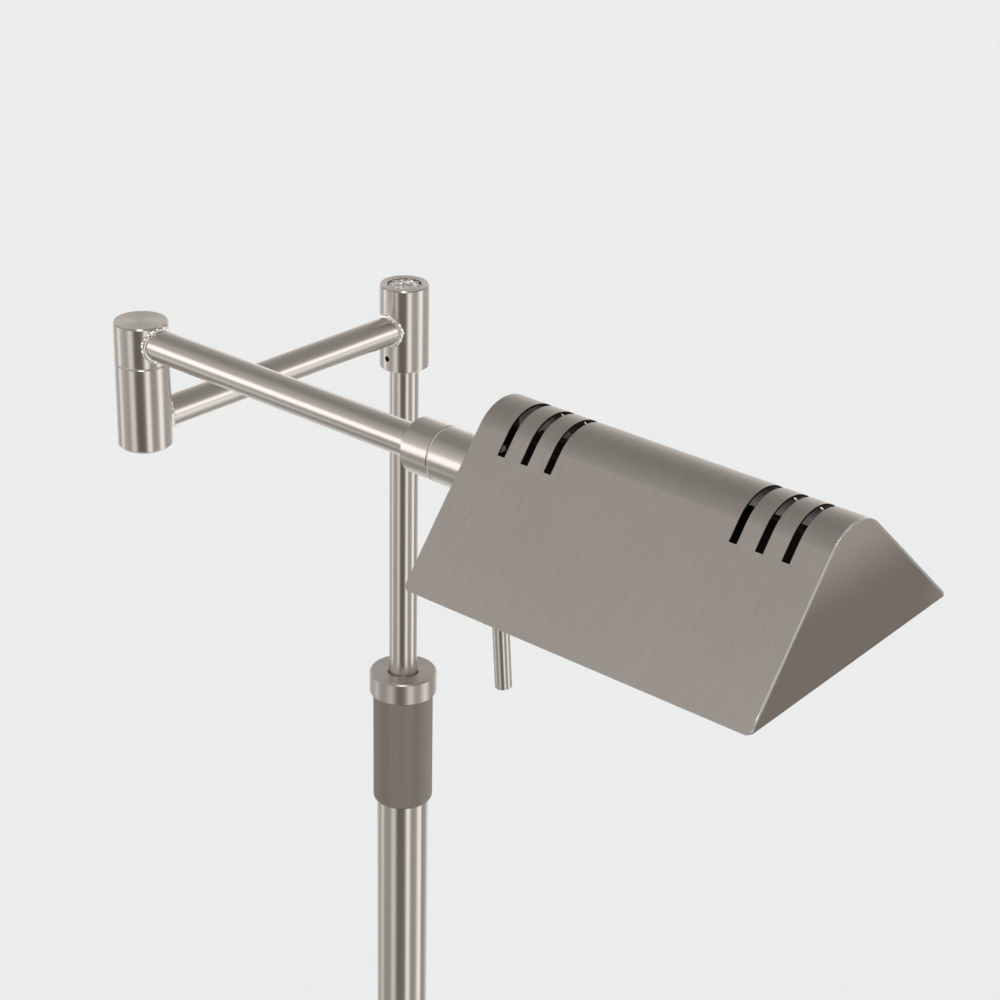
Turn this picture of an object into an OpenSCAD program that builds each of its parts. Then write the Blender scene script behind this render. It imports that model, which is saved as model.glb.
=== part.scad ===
// Pharmacy floor lamp: a weighted round foot, a telescopic mast with a twist clamp,
// two swinging arms joined by an elbow, and a gable-shaped metal shade that rolls on
// the end of the outer arm. Millimetres. The origin is the centre of the foot's
// underside, +Z is up, the outer arm and the shade run along +X, the inner arm along -Y.

/* [Foot] */
// Diameter of the round foot
foot_d = 250; // [220:1:300]
// Height of the foot's cover above the floor
foot_h = 20; // [18:1:26]
// Thickness of the pad under the foot
pad_t = 2; // [1.5:0.5:3]

/* [Mast] */
// Height of the top of the clamp ring above the floor
ring_top = 850; // [700:1:950]
// Outside diameter of the lower mast tube
mast_d = 30; // [29:0.5:32]
// Diameter of the upper tube and of both arm tubes
tube_d = 16; // [15.8:0.1:16.2]
// Length of the upper mast tube that shows between clamp ring and knuckle
bare_tube = 189; // [186:1:240]
// Whole length of the upper mast tube
upper_tube_l = 700; // [620:1:740]

/* [Clamp] */
// Diameter of the knurled clamp sleeve
sleeve_d = 34.5; // [33.5:0.5:38]
// Length of the knurled clamp sleeve
sleeve_l = 70.2; // [66:0.1:80]
// Diameter of the clamp ring
ring_d = 38.7; // [37:0.1:42]
// Height of the clamp ring
ring_h = 13.7; // [12:0.1:16]

/* [Arms] */
// Diameter of the knuckle and of the elbow
knuckle_d = 27; // [26.5:0.5:29]
// Height of the mast knuckle
knuckle_h = 47.2; // [46:0.1:50]
// Inner arm's axis below the top of the knuckle
arm_drop = 23.8; // [23:0.1:24.5]
// Height of the lower half of the elbow
elbow_low_h = 44.3; // [43:0.1:46]
// Height of the upper half of the elbow
elbow_up_h = 20.8; // [19.5:0.1:22]
// Length of the inner arm, from mast axis to elbow axis
inner_arm = 186; // [150:1:220]
// Height of the outer arm's axis above the top of the knuckle
arm_lift = 19.4; // [19:0.1:20]
// Distance from the elbow's axis to the shade's near end
outer_arm = 238; // [220:1:280]

/* [Collar] */
// Diameter of the collars at the end of the outer arm
collar_d = 26; // [25.5:0.5:28]
// Length of the fixed collar
collar_fixed_l = 16.1; // [15.5:0.1:18]
// Length of the turning collar
collar_turn_l = 35.7; // [35:0.1:38]

/* [Shade] */
// Length of the shade along the arm
shade_l = 181; // [170:1:200]
// Length of each sloping side, measured to the sharp ridge line
shade_side = 99.7; // [95:0.1:105]
// Half of the angle between the two sides
ridge_half = 42.5; // [41:0.5:44]
// Outside radius of the rounded ridge
ridge_r = 20.8; // [19:0.1:23]
// Height of the sharp ridge line above the arm's axis
ridge_top = 48.6; // [47.5:0.1:50]
// Thickness of the sheet
sheet_t = 1; // [0.8:0.1:1.2]
// Roll of the shade about the arm at rest
rest_roll = 4.9; // [-10:0.1:10]
// Width of a cooling slot
slot_w = 3.9; // [3:0.1:4.5]
// Spacing of the cooling slots
slot_pitch = 12.7; // [11:0.1:14]
// Distance from the shade's end to its first slot
slot_first = 15.3; // [12:0.1:18]
// Distance down the side from the sharp ridge line to a slot's end
slot_down = 32.6; // [28:0.1:36]
// Number of slots at each end
slot_n = 3; // [2:1:4]

/* [Tilt handle] */
// Diameter of the handle
handle_d = 8; // [7:0.5:9]
// Length of the handle, from the arm's axis to its tip
handle_l = 110; // [80:1:130]
// Distance from the shade's end back to the handle
handle_back = 7.5; // [6:0.5:9]

/* [Hidden] */
$fn = 96;

// Clearances and common sizes
run = 0.05;        // radial clearance of a running fit
gap = 0.3;         // space between pieces that must not touch
edge = 0.6;        // chamfer on turned edges
tube_wall = 1.2;
mast_wall = 1.5;
thread_r = 5;      // hollow M10 nipples
nipple_wall = 1.5;
lead_r = 2.6;      // sheathed lead inside the tubes
wire_r = 1.1;      // single heat-proof wire
wire_sides = 8;
wire_bend = 3;     // how far before a corner the wire starts to turn

// Radii that follow from the diameters
foot_r = foot_d / 2;
mast_r = mast_d / 2;
mast_in = mast_r - mast_wall;
tube_r = tube_d / 2;
tube_in = tube_r - tube_wall;
knuckle_r = knuckle_d / 2;
collar_r = collar_d / 2;
bore_r = tube_r + run;

// Foot
cover_t = 1.2;
cover_in = foot_r - cover_t;
cover_round = 3;
weight_r = foot_r - 2 * cover_t;
weight_top = foot_h - cover_t;
nut_pocket_top = 15;
nut_pocket_r = 22;
nipple_foot = 7.6;
plug_h = 26;
nut_h = 5;
nut_af = 14;
washer_t = 1.6;
spring_t = 0.8;
base_washer_r = 18;
inlet_z = 8;
inlet_r = 3.3;
grommet_r = 5;
grommet_flange_r = 6;
grommet_nose = 3;

// Heights on the mast
ring_bottom = ring_top - ring_h;
sleeve_bottom = ring_bottom - sleeve_l;
tube_top = ring_top - 38;
collet_top = ring_top - 18;
ferrule_in = 22;   // length inside the lower tube
ferrule_out = 14;  // length above the lower tube
cone_low = 6;      // height of the clamping cone's foot above the lower tube
knuckle_bottom = ring_top + bare_tube;
knuckle_top = knuckle_bottom + knuckle_h;
inner_z = knuckle_top - arm_drop;
outer_z = knuckle_top + arm_lift;
tube_in_knuckle = 1.8;
inner_tube_top = knuckle_bottom + tube_in_knuckle;
inner_tube_bottom = inner_tube_top - upper_tube_l;

// Knuckle
spigot_top = knuckle_bottom + 14.9;
pivot_washer_t = 1.1;
pivot_ceiling = spigot_top + pivot_washer_t + 0.1;
dimmer_floor = knuckle_top - 17;
knob_r = 8.7;
knob_bore_r = 9.2;
knob_h = 4.2;
knob_flutes = 12;
flute_r = 1.35;
flute_lean = 18;
dish_r = 5.8;      // hollow in the knob's top
knob_seat = knuckle_top - 0.7 - knob_h;
groove_z = knuckle_bottom + 7.2;
groove_h = 4;
groove_r = 6.2;
rib_w = 1.4;
screw_sink = 1.6;  // how far a grub screw sits below the surface
grub_r = 1.6;
dog_r = 1.1;

// Elbow
elbow_y = -inner_arm;
seam = 0.3;
seam_edge = 0.4;   // chamfer on the edges that meet at a seam
elbow_low_top = knuckle_top + 7.8;
elbow_low_bottom = elbow_low_top - elbow_low_h;
elbow_up_bottom = elbow_low_top + seam;
elbow_web_top = elbow_low_top - 18;
elbow_web = 2.5;
elbow_nut_top = elbow_web_top - elbow_web - 0.1 - spring_t;
grub_drop = 9;     // elbow's grub screw below the seam
elbow_chamber_r = 11;
elbow_plug_h = 3;

// Collars, measured along X from the elbow's axis
near_x = outer_arm;
far_x = near_x + shade_l;
turn_x = near_x - collar_turn_l;
fixed_end_x = turn_x - seam;
fixed_x = fixed_end_x - collar_fixed_l;
web = 4;
swivel_nut_x = turn_x + web + 0.1 + spring_t;
collar_bore_r = 9.5;
stop_r = 7.2;
stop_pin_r = 1;
stop_half_arc = 100;
handle_x = near_x - handle_back;
handle_thread_r = 3;
collar_screw_pcd_r = 11.3;
collar_screw_angles = [30, 150, 270];
collar_screw_r = 1.2;

// Shade section, in the plane across the arm: base level and inner faces
base_u = ridge_top - shade_side * cos(ridge_half);
inner_apex = ridge_top - sheet_t / sin(ridge_half);
cap_t = 1;
cap_flange = 7;
cap_flange_t = 0.8;
cap_lift = 0.3;
corner_r = 3;

// Lamp and reflector, in the shade's section
mid_x = (near_x + far_x) / 2;
lamp_u = 6;
reflector_top = 20;
reflector_low = -4;
reflector_half_top = 14;
reflector_half_low = 38;
reflector_t = 0.8;
reflector_end_gap = 9;
contact_span = 114.2;
holder_l = 20;
holder_w = 14;
holder_low = -2;
glass_r = 5;
glass_l = 91;
lamp_end_r = 3.6;
tail_x = contact_span / 2 + 10.5;
fix_x = contact_span / 2 + 15;
fix_r = 1.5;
bracket_t = 1.2;
bracket_w = 14;
bracket_leg = 9;
bracket_foot = 20;
wire_y = 4;            // the wires' distance from the shade's middle plane
rise_x = near_x + 5;   // where the wires rise behind the near cap

// ---- Helpers ----

// Ring or tube standing on z = 0
module ring(r_out, r_in, h) {
    difference() {
        cylinder(r = r_out, h = h);
        translate([0, 0, -1]) cylinder(r = r_in, h = h + 2);
    }
}

// Turned cylinder with a chamfer c1 at its foot and c2 at its top
module turned(r, h, c1, c2) {
    rotate_extrude()
        polygon([[0, 0], [r - c1, 0], [r, c1], [r, h - c2], [r - c2, h], [0, h]]);
}

// Puts a shape that stands on z = 0 along +X
module along_x() {
    rotate([0, 90, 0]) children();
}

// Puts a shape that stands on z = 0 along -Y
module along_minus_y() {
    rotate([90, 0, 0]) children();
}

module at_elbow() {
    translate([0, elbow_y, 0]) children();
}

// Frame of the outer arm's axis, X measured from the elbow
module on_outer_arm() {
    translate([0, elbow_y, outer_z]) children();
}

// Frame of the shade: as above, rolled about the arm
module in_shade() {
    on_outer_arm() rotate([rest_roll, 0, 0]) children();
}

// Extrudes a section drawn across the arm, from x0 over the length l
module section_from(x0, l) {
    translate([x0, 0, 0]) rotate([90, 0, 90]) linear_extrude(l) children();
}

// Gable outline with a rounded ridge: sharp apex height, ridge radius, base height
module gable(apex, r, base) {
    side = (apex - base) / cos(ridge_half);
    tangent = r / tan(ridge_half);
    polygon([
        [-side * sin(ridge_half), base],
        [-tangent * sin(ridge_half), apex - tangent * cos(ridge_half)],
        [tangent * sin(ridge_half), apex - tangent * cos(ridge_half)],
        [side * sin(ridge_half), base]
    ]);
    translate([0, apex - r / sin(ridge_half)]) circle(r = r);
}

// Hexagon nut standing on z = 0, with a thread of radius r
module hex_nut(af, h, r) {
    difference() {
        cylinder(r = af / sqrt(3), h = h, $fn = 6);
        translate([0, 0, -1]) cylinder(r = r, h = h + 2);
    }
}

// Pan-head screw: head on z = 0 rising, shank going down, cross slot in the head
module pan_screw(r, l, head_r, head_h) {
    difference() {
        union() {
            translate([0, 0, -l]) cylinder(r = r, h = l + 0.1);
            turned(head_r, head_h, 0, head_h / 2);
        }
        for (a = [0, 90]) rotate([0, 0, a])
            translate([-head_r * 0.6, -0.35, head_h * 0.45]) cube([head_r * 1.2, 0.7, head_h]);
    }
}

// Headless screw lying along +X from x0 to x1, with a dog point at x0 and a hexagon
// socket at x1
module grub_screw(x0, x1) {
    difference() {
        union() {
            translate([x0, 0, 0]) along_x() cylinder(r = dog_r, h = x1 - x0);
            translate([bore_r + gap, 0, 0]) along_x() cylinder(r = grub_r, h = x1 - bore_r - gap);
        }
        translate([x1 - 2, 0, 0]) along_x() cylinder(r = 0.85, h = 3, $fn = 6);
    }
}

// Cutter for the groove round a pivot, centred on z = 0. It leaves a rib at stop_angle
// that the grub screw's point runs against
module groove_cutter(stop_angle) {
    difference() {
        translate([0, 0, -groove_h / 2]) ring(tube_r + 1, groove_r, groove_h);
        rotate([0, 0, stop_angle]) translate([0, -rib_w / 2, -groove_h])
            cube([tube_r + 2, rib_w, 2 * groove_h]);
    }
}

// ---- Foot ----

module base_cover() {
    color([0.68, 0.65, 0.62]) difference() {
        rotate_extrude() {
            square([foot_r - cover_round, foot_h]);
            square([foot_r, foot_h - cover_round]);
            translate([foot_r - cover_round, foot_h - cover_round]) circle(r = cover_round);
        }
        translate([0, 0, -1]) cylinder(r = foot_r + 1, h = pad_t + 1.5);
        translate([0, 0, -1]) rotate_extrude() {
            square([cover_in - cover_round + cover_t, weight_top + 1]);
            square([cover_in, weight_top + 1 - cover_round + cover_t]);
            translate([cover_in - cover_round + cover_t, weight_top + 1 - cover_round + cover_t])
                circle(r = cover_round - cover_t);
        }
        cylinder(r = thread_r + 0.2, h = foot_h + 1);
        translate([-foot_r - 1, 0, inlet_z]) along_x() cylinder(r = grommet_r, h = 10);
    }
}

module base_weight() {
    color([0.25, 0.25, 0.26]) difference() {
        translate([0, 0, pad_t]) turned(weight_r, weight_top - pad_t, 0.5, 3);
        translate([0, 0, pad_t - 1]) cylinder(r = nut_pocket_r, h = nut_pocket_top - pad_t + 1);
        cylinder(r = thread_r + 0.4, h = foot_h + 1);
        translate([-foot_r, -5, pad_t - 1]) cube([foot_r, 10, inlet_z + 5 - pad_t]);
        translate([-weight_r - 1, -8, pad_t - 1]) cube([14, 16, foot_h]);
    }
}

module base_pad() {
    color([0.12, 0.12, 0.12]) turned(foot_r - 4, pad_t, 0.4, 0);
}

module base_washer() {
    color([0.6, 0.6, 0.6]) translate([0, 0, nut_pocket_top - washer_t])
        ring(base_washer_r, thread_r + 0.2, washer_t);
}

module base_nut() {
    color([0.6, 0.6, 0.6]) translate([0, 0, nut_pocket_top - washer_t - nut_h])
        hex_nut(nut_af, nut_h, thread_r);
}

module mast_nipple() {
    color([0.72, 0.58, 0.3]) translate([0, 0, nipple_foot])
        ring(thread_r, thread_r - nipple_wall, foot_h + plug_h - 4 - nipple_foot);
}

module cable_grommet() {
    color([0.1, 0.1, 0.1]) translate([-foot_r, 0, inlet_z]) difference() {
        union() {
            along_x() cylinder(r = grommet_r, h = 9);
            translate([cover_t + gap, 0, 0]) along_x() cylinder(r = grommet_flange_r, h = 1.8);
            translate([-grommet_nose, 0, 0]) along_x() turned(grommet_r + 0.8, grommet_nose, 1, 0);
        }
        translate([-5, 0, 0]) along_x() cylinder(r = inlet_r, h = 20);
    }
}

// ---- Mast, fixed part ----

module outer_tube() {
    color([0.70, 0.67, 0.65]) translate([0, 0, foot_h])
        ring(mast_r, mast_in, tube_top - foot_h);
}

module foot_plug() {
    color([0.5, 0.5, 0.5]) translate([0, 0, foot_h]) ring(mast_in, thread_r, plug_h);
}

module mast_ferrule() {
    color([0.72, 0.58, 0.3]) difference() {
        union() {
            translate([0, 0, tube_top - ferrule_in]) cylinder(r = mast_in, h = ferrule_in + 0.1);
            translate([0, 0, tube_top]) cylinder(r = mast_r, h = ferrule_out);
        }
        translate([0, 0, tube_top - ferrule_in - 1])
            cylinder(r = bore_r, h = ferrule_in + ferrule_out + 2);
        translate([0, 0, tube_top + cone_low])
            cylinder(r1 = tube_r + 1, r2 = tube_r + 3.2, h = ferrule_out - cone_low + 0.01);
    }
}

module clamp_collet() {
    cone_z = tube_top + cone_low + gap;
    cone_top = tube_top + ferrule_out;
    color([0.92, 0.9, 0.85]) difference() {
        union() {
            translate([0, 0, cone_z])
                cylinder(r1 = tube_r + 0.7, r2 = tube_r + 2.8, h = cone_top - cone_z);
            translate([0, 0, cone_top]) cylinder(r = tube_r + 4, h = collet_top - cone_top);
        }
        translate([0, 0, cone_z - 1]) cylinder(r = bore_r, h = 30);
        for (a = [0, 90]) rotate([0, 0, a])
            translate([-20, -0.5, cone_z - 1]) cube([40, 1, 9]);
    }
}

// ---- Clamp, turning part ----

module clamp_sleeve() {
    color([0.48, 0.45, 0.42]) translate([0, 0, sleeve_bottom]) difference() {
        turned(sleeve_d / 2, sleeve_l, 1, 0);
        translate([0, 0, -1]) cylinder(r = mast_r + run, h = sleeve_l + 2);
    }
}

module clamp_ring() {
    spigot_h = ring_bottom - collet_top - gap;
    color([0.62, 0.59, 0.56]) difference() {
        union() {
            translate([0, 0, ring_bottom]) turned(ring_d / 2, ring_h, 1, 0.8);
            translate([0, 0, ring_bottom - spigot_h]) cylinder(r = mast_r + run, h = spigot_h + 0.1);
        }
        translate([0, 0, ring_bottom - 20]) cylinder(r = tube_r + gap, h = ring_h + 40);
        translate([0, 0, ring_top - 1.2]) cylinder(r1 = tube_r + gap, r2 = tube_r + 1.6, h = 1.21);
    }
}

// ---- Mast, sliding part ----

module inner_tube() {
    color([0.72, 0.69, 0.67]) translate([0, 0, inner_tube_bottom])
        ring(tube_r, tube_in, upper_tube_l);
}

module slide_bush() {
    color([0.92, 0.9, 0.85]) difference() {
        translate([0, 0, inner_tube_bottom - 2]) cylinder(r = mast_in - run, h = 32);
        translate([0, 0, inner_tube_bottom]) cylinder(r = tube_r, h = 40);
        translate([0, 0, inner_tube_bottom - 3]) cylinder(r = tube_in - 1, h = 40);
    }
}

module mast_spigot() {
    color([0.62, 0.62, 0.62]) difference() {
        union() {
            translate([0, 0, inner_tube_top - 25]) cylinder(r = tube_in, h = 25.1);
            translate([0, 0, inner_tube_top]) cylinder(r = tube_r, h = spigot_top - inner_tube_top);
        }
        translate([0, 0, inner_tube_top - 26]) cylinder(r = 3.8, h = 60);
        translate([0, 0, groove_z]) groove_cutter(90);
    }
}

module pivot_washer() {
    color([0.92, 0.9, 0.85]) translate([0, 0, spigot_top]) ring(tube_r - 0.2, 3.9, pivot_washer_t);
}

module mast_lead() {
    color([0.15, 0.15, 0.15]) translate([0, 0, inner_tube_bottom])
        cylinder(r = lead_r, h = pivot_ceiling - inner_tube_bottom);
}

// ---- Inner arm ----

module mast_knuckle() {
    color([0.66, 0.63, 0.61]) difference() {
        translate([0, 0, knuckle_bottom]) turned(knuckle_r, knuckle_h, edge, edge);
        translate([0, 0, knuckle_bottom - 1]) cylinder(r = bore_r, h = pivot_ceiling - knuckle_bottom + 1);
        translate([0, 0, pivot_ceiling - 1]) cylinder(r = 6, h = 40);
        translate([0, 0, dimmer_floor]) cylinder(r = knob_bore_r, h = 30);
        translate([0, 0, inner_z]) along_minus_y() cylinder(r = 5, h = 20);
        translate([0, 0, groove_z]) along_minus_y() cylinder(r = grub_r, h = 20);
    }
}

module knuckle_grub_screw() {
    color([0.3, 0.3, 0.3]) translate([0, 0, groove_z]) rotate([0, 0, -90])
        grub_screw(groove_r + gap, knuckle_r - screw_sink);
}

module dimmer_unit() {
    color([0.12, 0.12, 0.13]) translate([0, 0, dimmer_floor]) difference() {
        cylinder(r = knob_bore_r, h = 9.5);
        translate([0, 0, -1]) cylinder(r = 3 + run, h = 20);
        translate([-20, 4, -1]) cube([40, 20, 4]);
    }
}

module dimmer_knob() {
    color([0.86, 0.86, 0.87]) difference() {
        union() {
            translate([0, 0, dimmer_floor + 1]) cylinder(r = 3, h = knob_seat - dimmer_floor);
            translate([0, 0, knob_seat]) turned(knob_r, knob_h, 0.3, 1.6);
        }
        for (i = [0:knob_flutes - 1]) rotate([0, 0, (i + 0.5) * 360 / knob_flutes])
            translate([knob_r + 0.4, 0, knob_seat - 1]) rotate([0, -flute_lean, 0])
                cylinder(r = flute_r, h = knob_h + 4);
        translate([0, 0, knuckle_top + dish_r - 2.2]) sphere(r = dish_r);
    }
}

module inner_arm_tube() {
    color([0.70, 0.67, 0.64]) difference() {
        translate([0, 0, inner_z]) along_minus_y() ring(tube_r, tube_in, inner_arm);
        translate([0, 0, inner_z - 20]) cylinder(r = knuckle_r, h = 40);
        at_elbow() translate([0, 0, inner_z - 20]) cylinder(r = knuckle_r, h = 40);
    }
}

module elbow_lower() {
    color([0.67, 0.64, 0.62]) at_elbow() difference() {
        translate([0, 0, elbow_low_bottom]) turned(knuckle_r, elbow_low_h, 1.2, seam_edge);
        translate([0, 0, elbow_web_top]) cylinder(r = bore_r, h = 40);
        translate([0, 0, elbow_web_top - 10]) cylinder(r = thread_r + run, h = 20);
        translate([0, 0, elbow_low_bottom - 1])
            cylinder(r = elbow_chamber_r, h = elbow_web_top - elbow_web - elbow_low_bottom + 1);
        translate([0, 0, inner_z]) rotate([-90, 0, 0]) cylinder(r = 5, h = 20);
        translate([0, 0, elbow_low_top - grub_drop]) rotate([0, -90, 0]) cylinder(r = grub_r, h = 20);
    }
}

module elbow_grub_screw() {
    color([0.3, 0.3, 0.3]) at_elbow() translate([0, 0, elbow_low_top - grub_drop]) rotate([0, 0, 180])
        grub_screw(groove_r + gap, knuckle_r - screw_sink);
}

module elbow_plug() {
    color([0.62, 0.59, 0.57]) at_elbow() translate([0, 0, elbow_low_bottom + 0.4])
        turned(elbow_chamber_r, elbow_plug_h, 0.4, 0.4);
}

module inner_arm_lead() {
    color([0.15, 0.15, 0.15]) translate([0, -5, inner_z]) along_minus_y()
        cylinder(r = lead_r, h = inner_arm - 10);
}

// ---- Outer arm ----

module elbow_upper() {
    color([0.67, 0.64, 0.62]) at_elbow() difference() {
        translate([0, 0, elbow_up_bottom]) turned(knuckle_r, elbow_up_h, seam_edge, edge);
        translate([0, 0, elbow_up_bottom - 1]) cylinder(r = 6, h = elbow_up_h - 3);
        translate([0, 0, outer_z]) along_x() cylinder(r = 5, h = 20);
    }
}

module elbow_spigot() {
    nipple_l = 9;
    color([0.62, 0.62, 0.62]) at_elbow() difference() {
        union() {
            translate([0, 0, elbow_up_bottom - 0.1]) cylinder(r = 6, h = 4.1);
            translate([0, 0, elbow_web_top + 0.1])
                cylinder(r = tube_r, h = elbow_up_bottom - elbow_web_top - 0.1);
            translate([0, 0, elbow_web_top - nipple_l]) cylinder(r = thread_r, h = nipple_l + 0.2);
        }
        translate([0, 0, elbow_web_top - 20]) cylinder(r = 3.4, h = 60);
        translate([0, 0, elbow_low_top - grub_drop]) groove_cutter(0);
    }
}

module elbow_washer() {
    color([0.2, 0.2, 0.2]) at_elbow() translate([0, 0, elbow_low_top + 0.08])
        ring(knuckle_r - 0.4, tube_r, seam - 0.08);
}

module elbow_spring_washer() {
    color([0.6, 0.6, 0.6]) at_elbow() translate([0, 0, elbow_nut_top])
        ring(tube_r, thread_r, spring_t);
}

module elbow_nut() {
    color([0.6, 0.6, 0.6]) at_elbow() translate([0, 0, elbow_nut_top - nut_h])
        hex_nut(nut_af, nut_h, thread_r);
}

module outer_arm_tube() {
    color([0.70, 0.67, 0.64]) on_outer_arm() difference() {
        along_x() ring(tube_r, tube_in, fixed_end_x - web);
        translate([0, 0, -20]) cylinder(r = knuckle_r, h = 40);
    }
}

module collar_fixed() {
    color([0.70, 0.67, 0.64]) on_outer_arm() difference() {
        translate([fixed_x, 0, 0]) along_x() turned(collar_r, collar_fixed_l, edge, seam_edge);
        translate([fixed_x - 1, 0, 0]) along_x() cylinder(r = tube_r, h = collar_fixed_l - web + 1);
        translate([fixed_x, 0, 0]) along_x() cylinder(r = thread_r, h = 30);
        translate([fixed_x, 0, stop_r]) along_x() cylinder(r = stop_pin_r, h = 30);
    }
}

module collar_washer() {
    color([0.2, 0.2, 0.2]) on_outer_arm() difference() {
        translate([fixed_end_x, 0, 0]) along_x() ring(collar_r - 0.4, thread_r, seam - 0.08);
        translate([fixed_end_x - 1, 0, stop_r]) along_x() cylinder(r = stop_pin_r, h = 30);
    }
}

module swivel_nipple() {
    color([0.72, 0.58, 0.3]) on_outer_arm() translate([fixed_end_x - web, 0, 0])
        along_x() ring(thread_r, thread_r - nipple_wall, 16);
}

module swivel_spring_washer() {
    color([0.6, 0.6, 0.6]) on_outer_arm() translate([swivel_nut_x - spring_t, 0, 0])
        along_x() ring(tube_r, thread_r, spring_t);
}

module swivel_nut() {
    color([0.6, 0.6, 0.6]) on_outer_arm() translate([swivel_nut_x, 0, 0])
        along_x() hex_nut(nut_af, nut_h, thread_r);
}

module stop_pin() {
    color([0.4, 0.4, 0.4]) on_outer_arm() translate([fixed_end_x - web, 0, stop_r])
        along_x() cylinder(r = stop_pin_r, h = web + seam + 2);
}

module outer_arm_lead() {
    color([0.15, 0.15, 0.15]) on_outer_arm() translate([5, 0, 0])
        along_x() cylinder(r = lead_r, h = turn_x + web + 6);
}

// ---- Shade ----

module collar_turning() {
    slot_r = stop_pin_r + 0.2;
    color([0.70, 0.67, 0.64]) in_shade() difference() {
        translate([turn_x, 0, 0]) along_x() turned(collar_r, collar_turn_l, seam_edge, 0);
        translate([turn_x - 1, 0, 0]) along_x() cylinder(r = thread_r + run, h = 30);
        translate([turn_x + web, 0, 0]) along_x() cylinder(r = collar_bore_r, h = 50);
        translate([turn_x - 1, 0, 0]) rotate([90, 0, 90]) rotate([0, 0, 90 - stop_half_arc])
            rotate_extrude(angle = 2 * stop_half_arc)
                translate([stop_r - slot_r, 0]) square([2 * slot_r, 3.4]);
        translate([handle_x, 0, 0]) rotate([180, 0, 0]) cylinder(r = handle_thread_r, h = 30);
        for (a = collar_screw_angles) rotate([a, 0, 0])
            translate([near_x - 7, 0, collar_screw_pcd_r]) along_x()
                cylinder(r = collar_screw_r, h = 20);
    }
}

module tilt_handle() {
    color([0.66, 0.63, 0.60]) in_shade() translate([handle_x, 0, 0]) rotate([180, 0, 0])
        union() {
            translate([0, 0, collar_bore_r + 0.2]) cylinder(r = handle_thread_r, h = 6);
            difference() {
                turned(handle_d / 2, handle_l, 0, edge);
                translate([-20, 0, 0]) along_x() cylinder(r = collar_r, h = 40);
            }
        }
}

module collar_screws() {
    color([0.6, 0.6, 0.6]) in_shade() for (a = collar_screw_angles) rotate([a, 0, 0])
        translate([near_x + cap_t, 0, collar_screw_pcd_r]) along_x()
            pan_screw(collar_screw_r, 6.5, 2.3, 1.6);
}

// House-shaped cutter across the ridge: its lower ends are square to the sheet
module slot_outline() {
    reach = 5;
    end_e = slot_down * sin(ridge_half);
    end_u = ridge_top - slot_down * cos(ridge_half);
    de = reach * cos(ridge_half);
    du = reach * sin(ridge_half);
    polygon([
        [0, ridge_top + 10],
        [-end_e - de, end_u + du],
        [-end_e + de, end_u - du],
        [end_e - de, end_u - du],
        [end_e + de, end_u + du]
    ]);
}

// Cuts a rounded corner at the lower end of one side; s is +1 or -1 for the side,
// m is +1 at the far end and -1 at the near end
module corner_cut(s, m) {
    x_end = m > 0 ? far_x : near_x;
    translate([x_end, 0, ridge_top]) rotate([-s * (90 - ridge_half), 0, 0])
        translate([-m * corner_r, s * (shade_side - corner_r), -10])
            difference() {
                translate([m > 0 ? 0 : -2 * corner_r, s > 0 ? 0 : -2 * corner_r, 0])
                    cube([2 * corner_r, 2 * corner_r, 20]);
                translate([0, 0, -1]) cylinder(r = corner_r, h = 22);
            }
}

// The folded sheet: two flat sides that run into a round ridge
module folded_sheet() {
    flat = shade_side - ridge_r / tan(ridge_half);
    translate([near_x, 0, ridge_top - ridge_r / sin(ridge_half)]) rotate([90, 0, 90]) {
        rotate([0, 0, ridge_half]) rotate_extrude(angle = 180 - 2 * ridge_half)
            translate([ridge_r - sheet_t, 0]) square([sheet_t, shade_l]);
        for (s = [0, 1]) mirror([s, 0, 0]) rotate([0, 0, ridge_half])
            translate([ridge_r - sheet_t, -flat, 0]) cube([sheet_t, flat, shade_l]);
    }
}

module shade_shell() {
    color([0.66, 0.63, 0.60]) in_shade() difference() {
        folded_sheet();
        for (i = [0:slot_n - 1]) {
            section_from(near_x + slot_first + i * slot_pitch, slot_w) slot_outline();
            section_from(far_x - slot_first - i * slot_pitch - slot_w, slot_w) slot_outline();
        }
        for (s = [-1, 1]) for (m = [-1, 1]) corner_cut(s, m);
    }
}

// End cap: a plate with a flange turned into the shade; dir is +1 when the flange
// points along +X
module shade_cap(x0, dir) {
    r = ridge_r - sheet_t;
    flange_apex = inner_apex - cap_flange_t / sin(ridge_half);
    section_from(dir > 0 ? x0 : x0 - cap_t, cap_t) gable(inner_apex, r, base_u + cap_lift);
    difference() {
        section_from(dir > 0 ? x0 : x0 - cap_flange, cap_flange)
            gable(inner_apex, r, base_u + cap_lift);
        section_from(dir > 0 ? x0 : x0 - cap_flange - 1, cap_flange + 1)
            gable(flange_apex, r - cap_flange_t, base_u + cap_lift + cap_flange_t);
    }
}

module shade_cap_near() {
    color([0.60, 0.57, 0.54]) in_shade() difference() {
        shade_cap(near_x, 1);
        translate([near_x - 1, 0, 0]) along_x() cylinder(r = collar_bore_r, h = 20);
        for (a = collar_screw_angles) rotate([a, 0, 0])
            translate([near_x - 1, 0, collar_screw_pcd_r]) along_x()
                cylinder(r = collar_screw_r + 0.15, h = 5);
    }
}

module shade_cap_far() {
    color([0.52, 0.49, 0.46]) in_shade() shade_cap(far_x, -1);
}

// ---- Lamp inside the shade ----

module trough(top, low, half_top, half_low) {
    polygon([[-half_low, low], [-half_top, top], [half_top, top], [half_low, low]]);
}

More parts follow.
